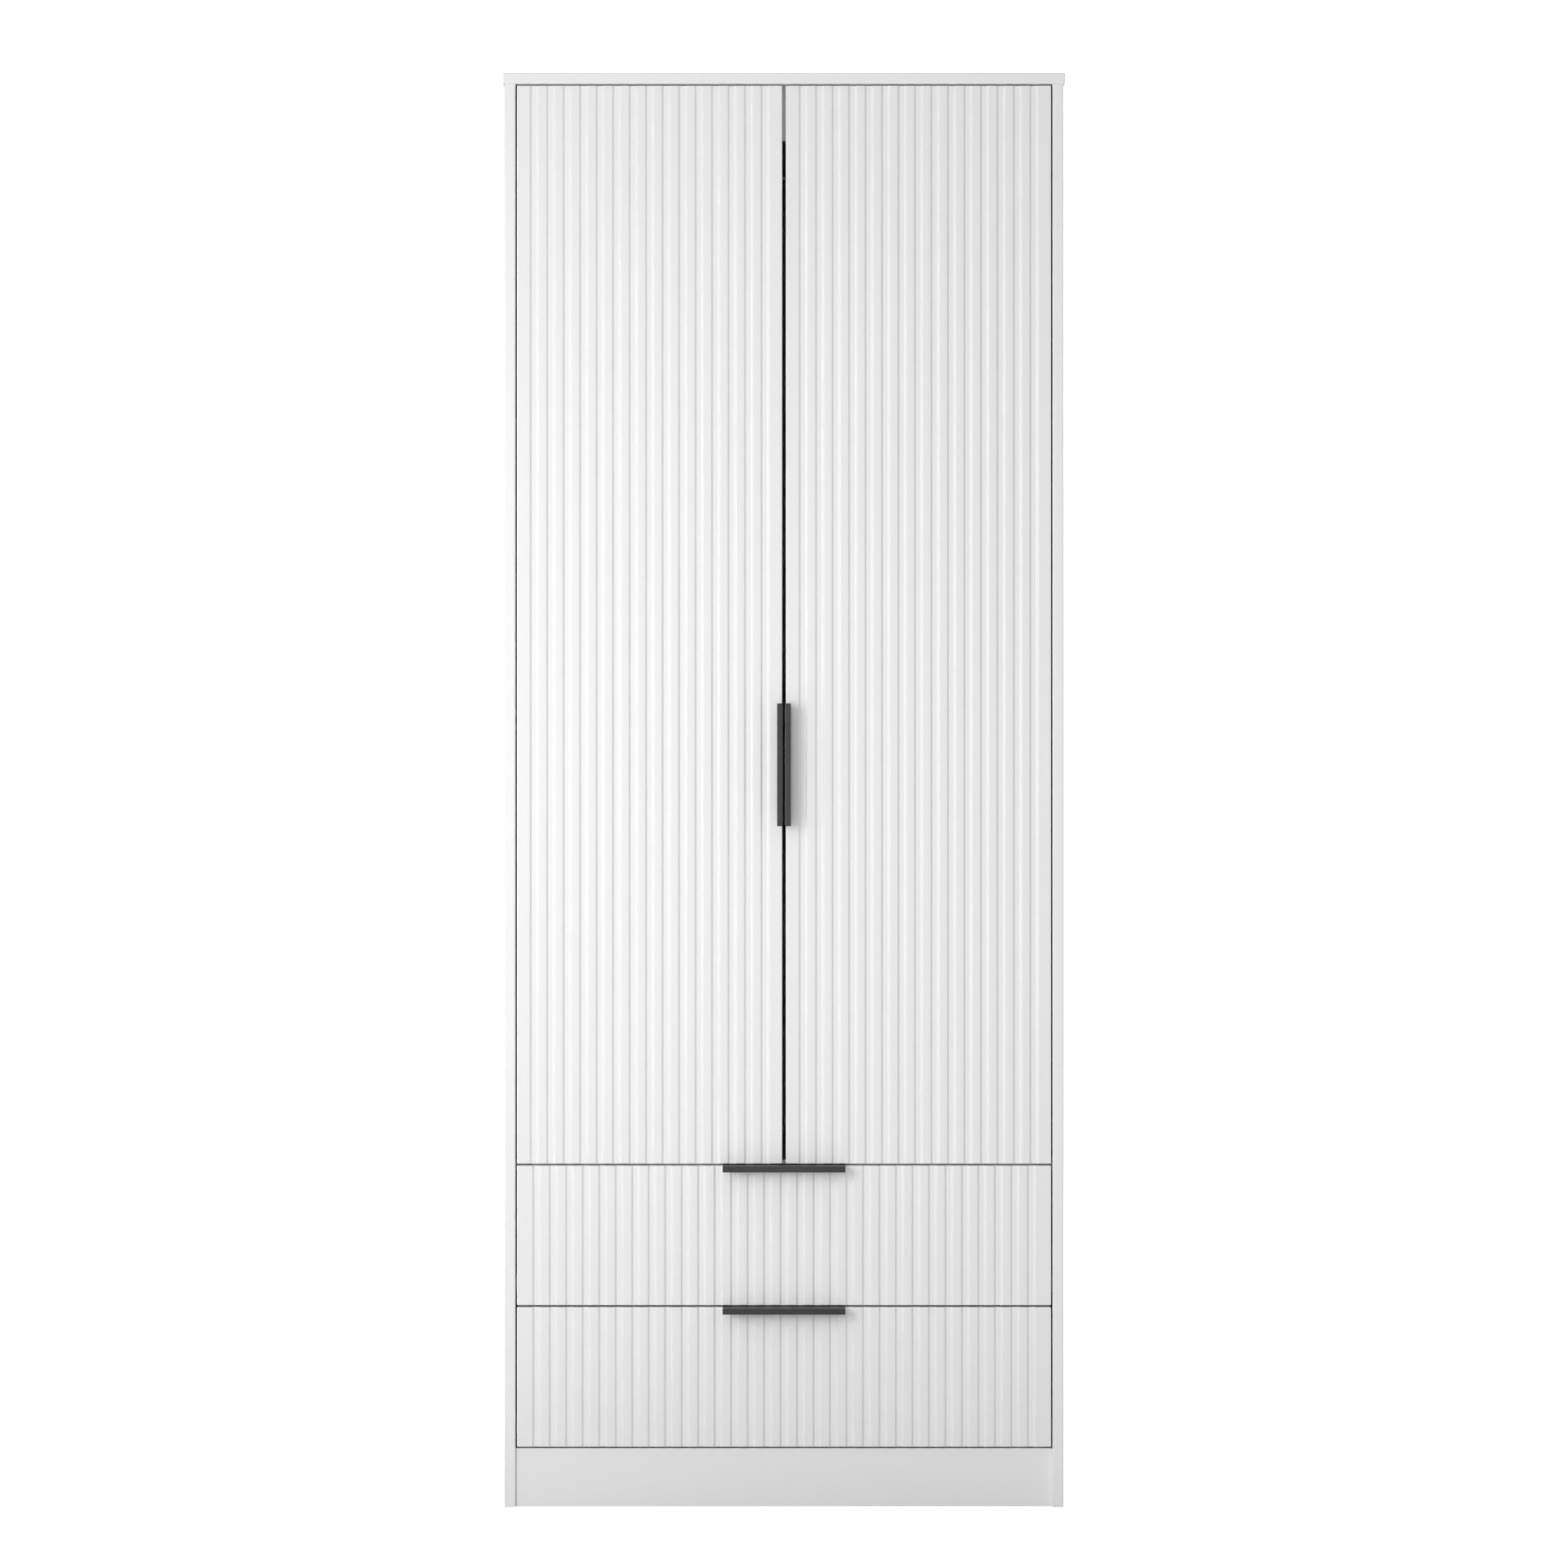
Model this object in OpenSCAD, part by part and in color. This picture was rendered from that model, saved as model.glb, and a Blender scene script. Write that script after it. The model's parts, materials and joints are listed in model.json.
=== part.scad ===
// Two-door wardrobe with two drawers, fluted fronts and black edge pulls.
// Millimetres. +Z is up and -Y is the front. The origin is on the floor, at the
// centre of the whole footprint, pulls included.

/* [Carcass] */
// Width over the two side panels
carcass_w = 768; // [740:4:800]
// Height from the floor to the top surface
carcass_h = 1970; // [1900:10:2050]
// Depth of the side panels
carcass_d = 530; // [520:5:580]
// Thickness of the carcass boards
board_t = 15; // [15:1:18]
// How far the top panel stands out past the sides and the front
top_overhang = 2; // [0:0.5:6]
// Height of the plinth, which is also the top of the base panel
plinth_h = 80; // [70:5:90]
// How far the plinth stands back from the front
plinth_recess = 6; // [2:1:20]
// Radius along the visible edges of the side and top panels
board_r = 1.5; // [0.5:0.1:2]
// Thickness of the hardboard back
back_t = 3; // [3:0.5:4]

/* [Fronts] */
// Thickness of the doors and drawer fronts
front_t = 18; // [17:0.5:18]
// Height of each drawer front
drawer_front_h = 192; // [190:1:205]
// Gap between a front and the side panels
side_gap = 2; // [2:0.1:3]
// Gap between two fronts, one above the other
level_gap = 2.5; // [2:0.1:4]
// Gap between the two doors
centre_gap = 4.9; // [4.5:0.1:6]
// Radius along the four edges of each front's face
edge_r = 1.5; // [1.5:0.1:2]

/* [Flutes] */
// Distance from one groove to the next
flute_pitch = 22.65; // [22:0.05:23]
// Distance between the middles of a groove's two walls
flute_w = 9.5; // [8:0.1:11]
// Width of one sloping groove wall
flute_wall = 3.4; // [2.5:0.1:4]
// Depth of a groove
flute_depth = 3; // [1.5:0.1:3.2]
// Most grooves on a door
door_flutes = 15; // [10:1:15]
// Most grooves on a drawer front
drawer_flutes = 31; // [20:1:31]

/* [Pulls] */
// Length of each edge pull
pull_len = 168; // [120:4:240]
// How far a pull stands out from the front
pull_reach = 26; // [20:1:30]
// Height of the turned-down lip
pull_lip = 8.2; // [7:0.1:10]
// Thickness of the folded metal
pull_t = 1.2; // [1:0.1:1.4]
// Height of a door pull's lower end above the bottom of the door
door_pull_z = 464; // [300:4:700]

/* [Hanging rail] */
// Radius of the rail
rail_r = 9.5; // [9:0.5:12]
// Distance from the top panel down to the middle of the rail
rail_drop = 90; // [60:5:120]

/* [Drawers] */
// Depth of a drawer box
box_d = 450; // [400:10:450]
// Height of the drawer box sides
box_h = 140; // [130:5:145]
// Thickness of the drawer box boards
box_t = 12; // [12:1:14]
// Space between a drawer side and the carcass, where the runners are
runner_space = 12.5; // [12.5:0.1:13]

/* [Hidden] */
$fn = 48;

eps = 0.02;                              // play between a fixing and its hole
cut = 1;                                 // how far a cutting shape runs past a face

// Screws: [head radius, head height, shank radius, length under the head]
plate_screw = [4.2, 1.8, 2.5, 12];
arm_screw = [3.2, 2.2, 2, 4.6];
cup_screw = [3.5, 1.6, 1.75, 10];
pull_screw = [3, 1.5, 1.5, 11];
socket_screw = [3, 1.6, 1.75, 12];
channel_screw = [3, 1, 1.75, 12];
member_screw = [3, 1, 1.5, 10];
back_screw = [3.5, 2, 2, 32];
bracket_screw = [3.2, 1.6, 1.75, 12];

// Planes of the carcass
inner_w = carcass_w - 2 * board_t;
side_x = inner_w / 2;                    // inner face of the right side panel
y_front = (pull_reach - carcass_d) / 2;  // front plane of doors, drawers and sides
y_back = y_front + carcass_d;
side_h = carcass_h - board_t;            // underside of the top panel
base_z = plinth_h - board_t;             // underside of the base panel

// Levels of the fronts, from the bottom up
lower_front_z = plinth_h + level_gap;
upper_front_z = lower_front_z + drawer_front_h + level_gap;
door_z = upper_front_z + drawer_front_h + level_gap;
door_top_gap = 2;
door_h = side_h - door_top_gap - door_z;
door_w = (inner_w - 2 * side_gap - centre_gap) / 2;
drawer_front_w = inner_w - 2 * side_gap;

// Divider between the hanging space and the drawers
divider_top = door_z + 3.5;
divider_z = divider_top - board_t;
stop_setback = front_t + 3;              // front of the divider and the stop board

// Stop board under the top panel, short of the sides where the doors' hinge edges swing in
stop_h = 75;
stop_end_gap = 53;
stop_dowel_xs = [-240, 0, 240];

// Back panel in its grooves
back_inset = 12;                         // from the rear edge to the groove
back_play = 0.1;
back_groove = 6;                         // depth of the groove
back_edge = 5.5;                         // how far the back reaches into it
back_y = y_back - back_inset - back_play - back_t;
inner_back_y = back_y - back_play;       // where the boards in front of the back end
back_seam_z = divider_z + board_t / 2;
divider_depth = inner_back_y - y_front - stop_setback;

// Dowels
dowel_r = 4;
dowel_len = 30;
dowel_in_face = 10;                      // depth in a board's face, the rest is in an end
dowel_ys = [70, 260, 450];
plinth_dowel_zs = [22, 46];

// Concealed hinge, measured from the door's hinge edge, the front plane and its own middle
hinge_from_end = 100;
hinge_zs = [door_z + hinge_from_end, door_z + door_h / 2, door_z + door_h - hinge_from_end];
cup_x = 22.5;
cup_r = 17.5;
cup_depth = 11.7;
cup_wall = 0.8;
cup_floor = 0.6;
flange_t = 1.2;
flange_r = 19.2;
cup_screw_dx = 6;
cup_screw_z = 24;
pivot_x = 24;
pivot_y = front_t - 8;
pin_r = 1.5;
pin_len = 15;
pin_play = 0.05;
door_sweep_r = norm([pivot_x, front_t - pivot_y]) + 0.6;
nose_r = 2.8;
arm_w = 11.6;
arm_t = 2.4;
arm_bend_r = 27.4;                       // middle of the bend that clears the door's edge
arm_leg_angle = 40.5;
arm_bend_end = 145;
arm_len = 62;
lug_z = 6.2;
lug_t = 1.5;
plate_t = 2.5;
wing_t = 2;
wing_r = 8;
plate_y = 55;                            // middle of the plate's screws, from the front plane
plate_screw_z = 16;
arm_screw_ys = [46, 70];

// Roller runners, measured up from the underside of the drawer side
runner_t = 1.2;
runner_web = 24;                         // height of the drawer member
flange_reach = 9;                        // width of its rolling flange
lap = 10;                                // how far it reaches under the drawer side
channel_z = 1.8;                         // underside of the cabinet member
channel_h = 20.2;
channel_w = 9.8;
runner_len = 450;
runner_y = 20;                           // front end of the cabinet member
front_roller_r = 8.85;
rear_roller_r = 8.5;
roller_w = 7;
axle_r = 2.5;
axle_head_r = 4;
axle_head_h = 0.5;
front_axle_len = 8.7;                    // from the middle of the web to the axle's head
rear_axle_len = 9.9;
front_roller_x = 5.4;                    // from the side panel to the roller's middle
rear_roller_x = 6.9;                     // from the drawer side to the roller's middle
roller_bevel = 0.6;
roller_play = 0.05;
track_gap = 0.15;                        // between a roller and the track above or below it
front_roller_y = runner_y + 14;
front_roller_z = runner_web - runner_t - track_gap - front_roller_r;
rear_roller_y = front_t + box_d - 12;
rear_roller_z = channel_z + runner_t + track_gap + rear_roller_r;
channel_screw_ys = [70, 250, 430];
member_screw_ys = [60, box_d / 2, box_d - 40];
member_screw_z = 16;
upper_box_z = upper_front_z + 16;
lower_box_z = lower_front_z + 14;

// Drawer box
box_x = side_x - runner_space;           // outer face of the drawer side
base_lift = 8;                           // groove for the drawer base, above the side's edge
base_t = 3;
base_groove = 5;
groove_play = 0.1;
box_back_drop = 10;
cam_r = 7.5;
cam_h = 10;
cam_y = front_t + 24;
cam_zs = [40, 110];
bolt_r = 3;
bolt_in_front = 10;
back_screw_zs = [62, 116];

// Hanging rail
rail_y = y_front + carcass_d / 2;
rail_z = side_h - rail_drop;
rail_wall = 1;
socket_base = 2.5;
socket_depth = 14;
socket_wall = 3;
socket_screw_z = 20;

// Wall brackets under the top panel, at the back
bracket_x = 220;
bracket_w = 25;
bracket_leg = 32;
bracket_t = 2;
wall_hole_r = 3;
wall_hole_drop = 20;
bracket_screw_dx = 7;

// Edge pull, measured from the edge that it wraps
pull_flange = 22;
pull_corner = 0.9;
pull_screw_in = 14;
pull_screw_spread = pull_len / 2 - 20;

// ---------------------------------------------------------------- helpers

// Points along an arc, in the given number of steps
function arc(cx, cy, r, from, to, steps) =
    [for (i = [0:steps]) let (a = from + (to - from) * i / steps) [cx + r * cos(a), cy + r * sin(a)]];

// Section [across, along] with the two corners at along = 0 rounded, and those at the far end too
// when ends is true
function rounded_plan(width, length, r, ends = false) = concat(
    arc(r, r, r, 180, 270, 4),
    arc(width - r, r, r, 270, 360, 4),
    ends ? concat(arc(width - r, length - r, r, 0, 90, 4), arc(r, length - r, r, 90, 180, 4))
         : [[width, length], [0, length]]);

// A copy on the left and its mirror image on the right
module both_sides() {
    children();
    mirror([1, 0, 0]) children();
}

// Turns +Z to point along the named direction
module to_right() rotate([0, 90, 0]) children();
module to_left() rotate([0, -90, 0]) children();
module to_back() rotate([-90, 0, 0]) children();
module to_front() rotate([90, 0, 0]) children();

// Pan-head screw with a cross recess: the head is above z = 0 and the shank below
module screw(size) {
    head_r = size[0];
    head_h = size[1];
    length = size[3];
    slot = head_r * 1.2;
    difference() {
        union() {
            cylinder(r = head_r, h = head_h);
            translate([0, 0, -length]) cylinder(r = size[2], h = length + head_h / 2);
        }
        for (turn = [0, 90])
            rotate([0, 0, turn]) translate([-slot / 2, -head_r / 8, head_h / 2])
                cube([slot, head_r / 4, head_h]);
    }
}

// Countersunk screw with a cross recess, its flat head flush with z = 0
module flush_screw(size) {
    head_r = size[0];
    head_h = size[1];
    length = size[3];
    difference() {
        union() {
            translate([0, 0, -head_h]) cylinder(r1 = size[2], r2 = head_r, h = head_h);
            translate([0, 0, -length]) cylinder(r = size[2], h = length - head_h / 2);
        }
        for (turn = [0, 90])
            rotate([0, 0, turn]) translate([-head_r / 2, -head_r / 8, -head_h / 2])
                cube([head_r, head_r / 4, head_h]);
    }
}

// The hole for a screw's shank, past both ends of it
module screw_hole(size) {
    translate([0, 0, -size[3] - eps]) cylinder(r = size[2] + eps, h = size[3] + cut);
}

// The hole for a countersunk screw
module flush_screw_hole(size) {
    head_r = size[0] + eps;
    translate([0, 0, -size[1] - eps]) cylinder(r1 = size[2] + eps, r2 = head_r, h = size[1]);
    translate([0, 0, -2 * eps]) cylinder(r = head_r, h = cut);
    screw_hole(size);
}

// ---------------------------------------------------------------- dowels

// Runs its child at each dowel that lies along X, at the right side panel's inner face
module at_cross_dowels() {
    for (y = dowel_ys, z = [base_z + board_t / 2, back_seam_z])
        translate([side_x, y_front + y, z]) children();
    for (z = plinth_dowel_zs) {
        translate([side_x, y_front + plinth_recess + board_t / 2, z]) children();
        translate([side_x, inner_back_y - board_t / 2, z]) children();
    }
}

// Runs its child at each upright dowel, between a side panel and the top
module at_top_dowels() {
    for (y = dowel_ys) translate([side_x + board_t / 2, y_front + y, side_h]) children();
}

// Runs its child at each upright dowel between the stop board and the top
module at_stop_dowels() {
    for (x = stop_dowel_xs)
        translate([x, y_front + stop_setback + board_t / 2, side_h]) children();
}

// A dowel along +Z with its joint face at z = 0, or its bore when play is given
module dowel(play = 0) {
    translate([0, 0, dowel_in_face - dowel_len - play * 5])
        cylinder(r = dowel_r + play, h = dowel_len + play * 10);
}

module dowel_bores() {
    both_sides() {
        at_cross_dowels() to_right() dowel(eps);
        at_top_dowels() dowel(eps);
    }
    at_stop_dowels() dowel(eps);
}

module carcass_dowels() {
    color("burlywood") {
        both_sides() {
            at_cross_dowels() to_right() dowel();
            at_top_dowels() dowel();
        }
        at_stop_dowels() dowel();
    }
}

// ---------------------------------------------------------------- carcass boards

// Groove that holds the back panel in the sides and the top
module back_panel_groove() {
    translate([-side_x - back_groove, back_y - back_play, base_z])
        cube([inner_w + 2 * back_groove, back_t + 2 * back_play, side_h - base_z + back_groove]);
}

// The right side panel, with every bore and groove that the fittings need
module side_panel() {
    color("white") difference() {
        translate([side_x, y_front, 0]) linear_extrude(side_h)
            polygon(rounded_plan(board_t, carcass_d, board_r));
        back_panel_groove();
        dowel_bores();
        at_plate_screws() to_left() screw_hole(plate_screw);
        for (z = [upper_box_z, lower_box_z])
            at_channel_screws(z) to_left() screw_hole(channel_screw);
        at_socket_screws() to_left() screw_hole(socket_screw);
    }
}

module left_side_panel() mirror([1, 0, 0]) side_panel();
module right_side_panel() side_panel();

// The top panel's outline, rounded along its front, its two ends and its front corners
module top_board() {
    width = carcass_w + 2 * top_overhang;
    depth = carcass_d + top_overhang;
    intersection() {
        linear_extrude(board_t) polygon(rounded_plan(width, depth, board_r));
        multmatrix([[0, 0, 1, 0], [0, 1, 0, 0], [-1, 0, 0, board_t], [0, 0, 0, 1]])
            linear_extrude(width) polygon(rounded_plan(board_t, depth, board_r));
        multmatrix([[0, 1, 0, 0], [0, 0, 1, 0], [1, 0, 0, 0], [0, 0, 0, 1]])
            linear_extrude(depth) polygon(rounded_plan(board_t, width, board_r, true));
    }
}

module top_panel() {
    color("white") difference() {
        translate([-carcass_w / 2 - top_overhang, y_front - top_overhang, side_h]) top_board();
        back_panel_groove();
        dowel_bores();
        at_bracket_screws() screw_hole_up();
    }
}

// Divider with a shallow round recess at each front corner, where a door's hinge edge swings in
module divider_panel() {
    color("white") difference() {
        translate([-side_x, y_front + stop_setback, divider_top])
            multmatrix([[0, 0, 1, 0], [0, 1, 0, 0], [-1, 0, 0, 0], [0, 0, 0, 1]])
                linear_extrude(inner_w)
                    polygon(rounded_plan(board_t, divider_depth, board_r));
        dowel_bores();
        at_nails() nail_hole();
        both_sides()
            translate([side_x - side_gap - pivot_x, y_front + pivot_y, door_z - 0.4])
                cylinder(r = door_sweep_r, h = board_t, $fn = 96);
    }
}

// Upright board that the tops of the doors close against
module door_stop_board() {
    length = inner_w - 2 * stop_end_gap;
    color("white") difference() {
        translate([-length / 2, y_front + stop_setback, side_h - stop_h])
            multmatrix([[0, 0, 1, 0], [1, 0, 0, 0], [0, 1, 0, 0], [0, 0, 0, 1]])
                linear_extrude(length) polygon(stop_section());
        at_stop_dowels() dowel(eps);
    }
}

// Section of the stop board, [back, up], with its two lower edges rounded
function stop_section() = concat(
    arc(board_r, board_r, board_r, 180, 270, 4),
    arc(board_t - board_r, board_r, board_r, 270, 360, 4),
    [[board_t, stop_h], [0, stop_h]]);

module base_panel() {
    front = y_front + plinth_recess + board_t;
    color("white") difference() {
        translate([-side_x, front, base_z]) cube([inner_w, inner_back_y - front, board_t]);
        dowel_bores();
        at_nails() nail_hole();
    }
}

module plinth_board() {
    color("white") difference() {
        translate([-side_x, y_front + plinth_recess, 0]) cube([inner_w, board_t, plinth_h]);
        dowel_bores();
    }
}

module rear_plinth_board() {
    color("white") difference() {
        translate([-side_x, inner_back_y - board_t, 0]) cube([inner_w, board_t, base_z]);
        dowel_bores();
    }
}

// ---------------------------------------------------------------- back panel

nail_r = 0.8;
nail_len = 16;
nail_head_r = 1.8;
nail_head_h = 0.6;
nail_xs = [for (i = [-3:3]) i * 115];
nail_zs = [base_z + board_t / 2, back_seam_z - 4, back_seam_z + 4];

// Runs its child at each nail, at the rear face of the back panel, with +Z pointing back
module at_nails() {
    for (x = nail_xs, z = nail_zs) translate([x, back_y + back_t, z]) to_back() children();
}

module nail_hole() {
    translate([0, 0, -nail_len - eps]) cylinder(r = nail_r + eps, h = nail_len + cut, $fn = 24);
}

module back_panel_nails() {
    color("silver") at_nails() {
        cylinder(r = nail_head_r, h = nail_head_h, $fn = 24);
        translate([0, 0, -nail_len]) cylinder(r = nail_r, h = nail_len, $fn = 24);
    }
}

module back_sheet(from_z, to_z) {
    color("peru") difference() {
        translate([-side_x - back_edge, back_y, from_z])
            cube([inner_w + 2 * back_edge, back_t, to_z - from_z]);
        at_nails() nail_hole();
        at_wall_holes() to_back() cylinder(r = wall_hole_r, h = 40, center = true);
    }
}

module upper_back_panel() back_sheet(back_seam_z + 0.5, side_h + back_edge);
module lower_back_panel() back_sheet(base_z, back_seam_z - 0.5);

// ---------------------------------------------------------------- hanging rail

module at_socket_screws() {
    for (dz = [-socket_screw_z, socket_screw_z])
        translate([side_x - socket_base, rail_y, rail_z + dz]) children();
}

// Open-topped end bracket: the rail drops in from above
module rail_socket() {
    outer_r = rail_r + socket_wall;
    translate([side_x, rail_y, rail_z]) to_left() difference() {
        union() {
            for (side = [-1, 1]) translate([side * socket_screw_z * 0.75, 0, 0])
                cylinder(r = 11, h = socket_base);
            translate([-socket_screw_z * 0.75, -11, 0])
                cube([socket_screw_z * 1.5, 22, socket_base]);
            cylinder(r = outer_r, h = socket_depth);
        }
        translate([0, 0, socket_base]) cylinder(r = rail_r + eps, h = socket_depth);
        translate([0, -rail_r - eps, socket_base])
            cube([outer_r + cut, 2 * (rail_r + eps), socket_depth]);
        for (side = [-1, 1]) translate([side * socket_screw_z, 0, -cut])
            cylinder(r = socket_screw[2] + eps, h = 2 * socket_base);
    }
}

module rail_sockets() {
    color("silver") both_sides() rail_socket();
}

module rail_socket_screws() {
    color("silver") both_sides() at_socket_screws() to_left() screw(socket_screw);
}

module hanging_rail() {
    length = inner_w - 2 * (socket_base + back_play);
    color("silver") translate([-length / 2, rail_y, rail_z]) to_right() difference() {
        cylinder(r = rail_r, h = length, $fn = 64);
        translate([0, 0, -cut]) cylinder(r = rail_r - rail_wall, h = length + 2 * cut, $fn = 64);
    }
}

// ---------------------------------------------------------------- concealed hinges

// Puts a right-hand hinge's own frame (inwards, backwards, up) at each of its heights
module at_hinges() {
    for (z = hinge_zs)
        translate([side_x - side_gap, y_front, z]) mirror([1, 0, 0]) children();
}

// Runs its child at each mounting screw, on the wing of the plate, in the carcass frame
module at_plate_screws() {
    for (z = hinge_zs, dz = [-plate_screw_z, plate_screw_z])
        translate([side_x - wing_t, y_front + plate_y, z + dz]) children();
}

module hinge_plate() {
    translate([-side_gap, 0, 0]) difference() {
        union() {
            translate([0, 38, -9]) cube([plate_t, 44, 18]);
            for (side = [-1, 1]) translate([0, plate_y, side * plate_screw_z]) to_right()
                cylinder(r = wing_r, h = wing_t);
            translate([0, plate_y - wing_r, -plate_screw_z])
                cube([wing_t, 2 * wing_r, 2 * plate_screw_z]);
        }
        for (side = [-1, 1]) translate([-cut, plate_y, side * plate_screw_z]) to_right()
            cylinder(r = plate_screw[2] + eps, h = 10);
        translate([side_gap, 0, 0]) at_arm_screws() screw_hole(arm_screw);
    }
}

// Cranked arm: a nose on the pin, a leg out of the cup, a bend round the door's edge
// and a channel back along the side panel
module hinge_arm() {
    web_x = plate_t - side_gap;
    inner_r = arm_bend_r - arm_t / 2;
    outer_r = arm_bend_r + arm_t / 2;
    web_y = pivot_y + arm_bend_r * sin(arm_bend_end) - 0.5;
    difference() {
        union() {
            translate([pivot_x, pivot_y, -arm_w / 2]) {
                cylinder(r = nose_r, h = arm_w);
                rotate([0, 0, arm_leg_angle]) translate([0, -arm_t / 2, 0])
                    cube([arm_bend_r, arm_t, arm_w]);
                intersection() {
                    difference() {
                        cylinder(r = outer_r, h = arm_w, $fn = 96);
                        translate([0, 0, -cut])
                            cylinder(r = inner_r, h = arm_w + 2 * cut, $fn = 96);
                    }
                    linear_extrude(arm_w) polygon(concat([[0, 0]],
                        arc(0, 0, outer_r * 1.4, arm_leg_angle, arm_bend_end, 3)));
                }
            }
            translate([web_x, web_y, -arm_w / 2]) cube([arm_t, arm_len, arm_w]);
            for (side = [-1, 1])
                translate([web_x, web_y + 9, side * (arm_w / 2 + 0.6) - 0.6])
                    cube([7, arm_len - 15, 1.2]);
        }
        translate([pivot_x, pivot_y, 0])
            cylinder(r = pin_r + pin_play, h = arm_w + cut, center = true);
        at_arm_screws() screw_hole(arm_screw);
    }
}

module hinge_cup() {
    difference() {
        union() {
            translate([cup_x, front_t - cup_depth, 0]) to_back() difference() {
                cylinder(r = cup_r, h = cup_depth + flange_t, $fn = 72);
                translate([0, 0, cup_floor])
                    cylinder(r = cup_r - cup_wall, h = cup_depth + flange_t, $fn = 72);
            }
            translate([cup_x, front_t, 0]) to_back() difference() {
                union() {
                    cylinder(r = flange_r, h = flange_t, $fn = 72);
                    translate([cup_screw_dx - 7, -cup_screw_z, 0])
                        cube([14, 2 * cup_screw_z, flange_t]);
                    for (side = [-1, 1]) translate([cup_screw_dx, side * cup_screw_z, 0])
                        cylinder(r = 7, h = flange_t);
                }
                translate([0, 0, -cut])
                    cylinder(r = cup_r - cup_wall, h = 2 * cut + flange_t, $fn = 72);
                for (side = [-1, 1]) translate([cup_screw_dx, side * cup_screw_z, -cut])
                    cylinder(r = cup_screw[2] + eps, h = 2 * cut + flange_t);
            }
            for (side = [-1, 1])
                translate([pivot_x - 3, front_t - cup_depth + cup_floor - 0.1,
                           side * (lug_z + lug_t / 2) - lug_t / 2])
                    cube([6, 5.8, lug_t]);
        }
        translate([pivot_x, pivot_y, 0]) cylinder(r = pin_r + eps, h = pin_len + cut, center = true);
    }
}

module hinge_pin() {
    translate([pivot_x, pivot_y, 0]) cylinder(r = pin_r, h = pin_len, center = true);
}

// Runs its child at a cup's two fixing screws, in the hinge frame, with +Z pointing back
module at_cup_screws() {
    for (side = [-1, 1])
        translate([cup_x + cup_screw_dx, front_t + flange_t, side * cup_screw_z])
            to_back() children();
}

// Runs its child at the two screws that hold an arm on its plate, in the hinge frame
module at_arm_screws() {
    for (y = arm_screw_ys) translate([plate_t - side_gap + arm_t, y, 0]) to_right() children();
}

module right_hinge_plates() color("silver") at_hinges() hinge_plate();
module left_hinge_plates() mirror([1, 0, 0]) right_hinge_plates();
module right_hinge_arms() color("silver") at_hinges() hinge_arm();
module left_hinge_arms() mirror([1, 0, 0]) right_hinge_arms();
module hinge_arm_screws()
    color("silver") both_sides() at_hinges() at_arm_screws() screw(arm_screw);
module hinge_plate_screws()
    color("silver") both_sides() at_plate_screws() to_left() screw(plate_screw);

// ---------------------------------------------------------------- fluted fronts

flute_steps = 6;

// Depth of a groove wall at a share t of its width
function ramp(t) = flute_depth * (1 - cos(180 * t)) / 2;

// The wall around x, going down into the groove or up out of it
function flute_wall_points(x, down) =
    [for (i = [0:flute_steps]) let (t = i / flute_steps)
        [x + (t - 0.5) * flute_wall, ramp(down ? t : 1 - t)]];

// As many grooves as are asked for and fit between the rounded edges
function flutes_in(width, most) =
    min(most, 1 + floor((width - 2 * edge_r - flute_w - flute_wall) / flute_pitch));

// Plan of a fluted front: the face is at y = 0 and the back at y = front_t
function front_plan(width, most) =
    let (count = flutes_in(width, most))
    let (first = (width - (count - 1) * flute_pitch - flute_w) / 2)
    concat(
        arc(edge_r, edge_r, edge_r, 180, 270, 4),
        [for (i = [0:count - 1]) each concat(
            flute_wall_points(first + i * flute_pitch, true),
            flute_wall_points(first + i * flute_pitch + flute_w, false))],
        arc(width - edge_r, edge_r, edge_r, 270, 360, 4),
        [[width, front_t], [0, front_t]]);

// The flutes run out through the top and bottom edges, which are rounded at the face
module fluted_front(width, height, most) {
    intersection() {
        linear_extrude(height) polygon(front_plan(width, most));
        multmatrix([[0, 0, 1, 0], [0, 1, 0, 0], [-1, 0, 0, height], [0, 0, 0, 1]])
            linear_extrude(width) polygon(rounded_plan(height, front_t, edge_r));
    }
}

// ---------------------------------------------------------------- edge pulls

// Section of a pull: [depth from the front plane, height above the wrapped edge]
function pull_section() =
    let (back = front_t + pull_t, c = pull_corner)
    concat(
        [[front_t, 0], [front_t, -pull_flange], [back, -pull_flange]],
        arc(back - c, pull_t - c, c, 0, 90, 3),
        arc(c - pull_reach, pull_t - c, c, 90, 180, 3),
        [[-pull_reach, pull_t - pull_lip], [pull_t - pull_reach, pull_t - pull_lip],
         [pull_t - pull_reach, 0]]);

// A pull along +Z, wrapping an edge that faces +Y of the section
module pull() {
    difference() {
        linear_extrude(pull_len) polygon(pull_section());
        pull_screw_holes();
    }
}

// Runs its child at the pull's two screws, in the pull's frame, with +Z pointing out of the back
module at_pull_screws() {
    for (side = [-1, 1])
        translate([front_t + pull_t, -pull_screw_in, pull_len / 2 + side * pull_screw_spread])
            to_right() children();
}

module pull_screws() at_pull_screws() screw(pull_screw);
module pull_screw_holes() at_pull_screws() screw_hole(pull_screw);

// Puts a pull's frame on the right door's free edge: section depth goes back, height goes left
module on_door_edge() {
    translate([centre_gap / 2, y_front, door_z + door_pull_z])
        multmatrix([[0, -1, 0, 0], [1, 0, 0, 0], [0, 0, 1, 0], [0, 0, 0, 1]]) children();
}

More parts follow.
